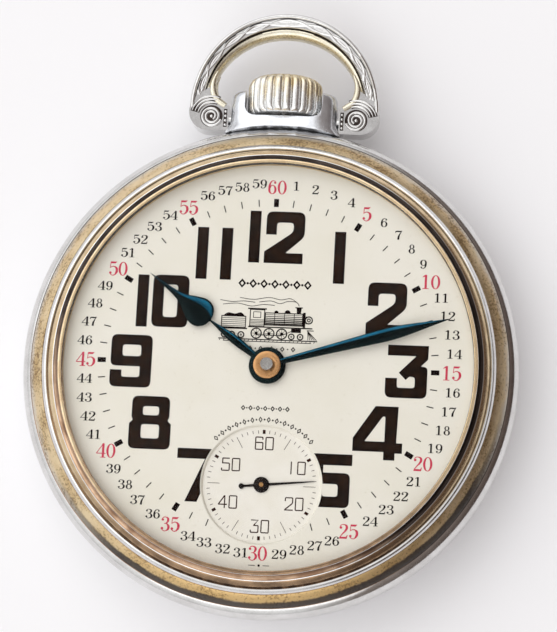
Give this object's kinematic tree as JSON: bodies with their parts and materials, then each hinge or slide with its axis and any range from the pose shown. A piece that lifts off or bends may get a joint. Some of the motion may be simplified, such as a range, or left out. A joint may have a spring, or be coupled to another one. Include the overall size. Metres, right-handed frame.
{
  "type": "open face pocket watch",
  "caption": "Open face pocket watch with a screw bezel and back, swinging bow, pull-out winding crown, coupled hands and a stem-wound lever movement.",
  "frame": {"origin": "centre of the flat rest face of the case back", "axes": "+Z out of the dial, +Y towards the 12 and the crown, +X towards the 3"},
  "size_m": [0.051, 0.0636, 0.012],
  "materials": {
    "case_chrome": "polished, slightly brushed",
    "worn_gilt": "chrome plating worn through to satin brass",
    "crystal_glass": "clear polished",
    "steel": "polished steel",
    "nickel": "satin nickel",
    "blued_steel": "polished heat-blued steel",
    "ruby": "polished ruby",
    "brass": "gilt brass",
    "dial_enamel": "glossy cream enamel"
  },
  "bodies": {
    "watch": {"case_middle": "case_chrome", "pendant": "worn_gilt", "pendant_sleeve": "steel", "bow_pin_left": "steel", "bow_pin_right": "steel", "main_plate": "nickel", "barrel_bridge": "nickel", "train_bridge": "nickel", "balance_cock": "nickel", "pallet_bridge": "nickel", "barrel_bridge_screw_1": "blued_steel", "barrel_bridge_screw_2": "blued_steel", "train_bridge_screw_1": "blued_steel", "train_bridge_screw_2": "blued_steel", "cock_screw": "blued_steel", "crown_wheel_screw": "steel", "click_screw": "blued_steel", "jewel_centre": "ruby", "jewel_third": "ruby", "jewel_fourth": "ruby", "jewel_escape": "ruby", "balance_jewel": "ruby", "click_spring": "blued_steel", "dial": "dial_enamel", "seconds_subdial": "dial_enamel"},
    "bezel": {"bezel": "worn_gilt", "crystal": "crystal_glass"},
    "case_back": {"case_back": "case_chrome"},
    "bow": {"bow": "worn_gilt"},
    "winding_pinion": {"winding_pinion": "steel"},
    "crown": {"crown": "nickel", "stem": "steel"},
    "clutch": {"clutch_wheel": "steel"},
    "crown_wheel": {"crown_wheel": "steel"},
    "ratchet": {"ratchet_wheel": "steel", "ratchet_screw": "steel", "barrel_arbor": "steel"},
    "click": {"click": "steel"},
    "setting_lever": {"setting_lever": "steel"},
    "yoke": {"yoke": "steel"},
    "centre": {"centre_wheel": "brass", "cannon_pinion": "brass", "minute_hand": "blued_steel"},
    "barrel": {"mainspring_barrel": "brass", "barrel_cover": "brass", "mainspring": "steel"},
    "third": {"third_wheel": "brass"},
    "fourth": {"fourth_wheel": "brass", "seconds_hand": "blued_steel"},
    "escape": {"escape_wheel": "steel"},
    "pallets": {"pallet_fork": "steel"},
    "balance": {"balance_wheel": "brass", "hairspring": "blued_steel"},
    "regulator": {"regulator": "steel"},
    "minute_wheel": {"minute_wheel": "brass"},
    "hour": {"hour_wheel": "brass", "hour_hand": "blued_steel"},
    "setting_wheel": {"setting_wheel": "steel"}
  },
  "joints": [
    {"name": "bezel_off", "type": "slide", "parent": "watch", "child": "bezel", "axis": [0, 0, 1], "range_m": [0, 0.012]},
    {"name": "back_off", "type": "slide", "parent": "watch", "child": "case_back", "axis": [0, 0, -1], "range_m": [0, 0.012]},
    {"name": "bow_swing", "type": "hinge", "parent": "watch", "child": "bow", "pos_m": [0, 0.0266, 0.0047], "axis": [1, 0, 0], "range_deg": [-90, 90]},
    {"name": "winding_spin", "type": "hinge", "parent": "watch", "child": "winding_pinion", "pos_m": [0, 0.0184, 0.0047], "axis": [0, 1, 0], "continuous": true},
    {"name": "crown_pull", "type": "slide", "parent": "winding_pinion", "child": "crown", "axis": [0, 1, 0], "range_m": [0, 0.001]},
    {"name": "clutch_shift", "type": "slide", "parent": "winding_pinion", "child": "clutch", "axis": [0, -1, 0], "range_m": [0, 0.0006]},
    {"name": "setting_lever_turn", "type": "hinge", "parent": "watch", "child": "setting_lever", "pos_m": [-0.0062, 0.0152, 0], "axis": [0, 0, 1], "range_deg": [0, 12]},
    {"name": "yoke_turn", "type": "hinge", "parent": "watch", "child": "yoke", "pos_m": [0.0064, 0.0146, 0], "axis": [0, 0, 1], "range_deg": [0, 8]},
    {"name": "crown_wheel_spin", "type": "hinge", "parent": "watch", "child": "crown_wheel", "pos_m": [0, 0.01525, 0], "axis": [0, 0, 1], "continuous": true},
    {"name": "ratchet_spin", "type": "hinge", "parent": "watch", "child": "ratchet", "pos_m": [0.00451, 0.00781, 0], "axis": [0, 0, 1], "continuous": true},
    {"name": "click_lift", "type": "hinge", "parent": "watch", "child": "click", "pos_m": [0.0119, 0.0113, 0], "axis": [0, 0, -1], "range_deg": [0, 10], "stiffness_Nm_per_rad": 0.000001, "springref_deg": -28.65},
    {"name": "minutes_spin", "type": "hinge", "parent": "watch", "child": "centre", "pos_m": [0, 0, 0], "axis": [0, 0, -1], "continuous": true},
    {"name": "barrel_spin", "type": "hinge", "parent": "watch", "child": "barrel", "pos_m": [0.00451, 0.00781, 0], "axis": [0, 0, -1], "continuous": true},
    {"name": "third_spin", "type": "hinge", "parent": "watch", "child": "third", "pos_m": [-0.00277, -0.00664, 0], "axis": [0, 0, -1], "continuous": true},
    {"name": "seconds_spin", "type": "hinge", "parent": "watch", "child": "fourth", "pos_m": [0, -0.0121, 0], "axis": [0, 0, -1], "continuous": true},
    {"name": "escape_spin", "type": "hinge", "parent": "watch", "child": "escape", "pos_m": [0.0053, -0.0144, 0], "axis": [0, 0, -1], "continuous": true},
    {"name": "minute_wheel_spin", "type": "hinge", "parent": "watch", "child": "minute_wheel", "pos_m": [0, 0.004, 0], "axis": [0, 0, -1], "continuous": true},
    {"name": "hours_spin", "type": "hinge", "parent": "watch", "child": "hour", "pos_m": [0, 0, 0], "axis": [0, 0, -1], "continuous": true},
    {"name": "setting_wheel_spin", "type": "hinge", "parent": "watch", "child": "setting_wheel", "pos_m": [0, 0.0105, 0], "axis": [0, 0, -1], "continuous": true},
    {"name": "pallets_rock", "type": "hinge", "parent": "watch", "child": "pallets", "pos_m": [0.00798, -0.01185, 0], "axis": [0, 0, 1], "range_deg": [-5, 5]},
    {"name": "balance_swing", "type": "hinge", "parent": "watch", "child": "balance", "pos_m": [0.0115, -0.0085, 0], "axis": [0, 0, 1], "range_deg": [-270, 270], "stiffness_Nm_per_rad": 0.0000006},
    {"name": "regulator_turn", "type": "hinge", "parent": "watch", "child": "regulator", "pos_m": [0.0115, -0.0085, 0], "axis": [0, 0, 1], "range_deg": [-20, 20]}
  ],
  "couplings": [
    {"joint": "clutch_shift", "follows": "crown_pull", "ratio": 0.6},
    {"joint": "setting_lever_turn", "follows": "crown_pull", "rad_per_m": 200},
    {"joint": "yoke_turn", "follows": "crown_pull", "rad_per_m": 133},
    {"joint": "crown_wheel_spin", "follows": "winding_spin", "ratio": 0.66667},
    {"joint": "ratchet_spin", "follows": "winding_spin", "ratio": -0.47059},
    {"joint": "barrel_spin", "follows": "minutes_spin", "ratio": -0.14286},
    {"joint": "third_spin", "follows": "minutes_spin", "ratio": -8},
    {"joint": "seconds_spin", "follows": "minutes_spin", "ratio": 60},
    {"joint": "escape_spin", "follows": "minutes_spin", "ratio": -600},
    {"joint": "minute_wheel_spin", "follows": "minutes_spin", "ratio": -0.33333},
    {"joint": "hours_spin", "follows": "minutes_spin", "ratio": 0.083333},
    {"joint": "setting_wheel_spin", "follows": "minutes_spin", "ratio": 0.28571}
  ]
}
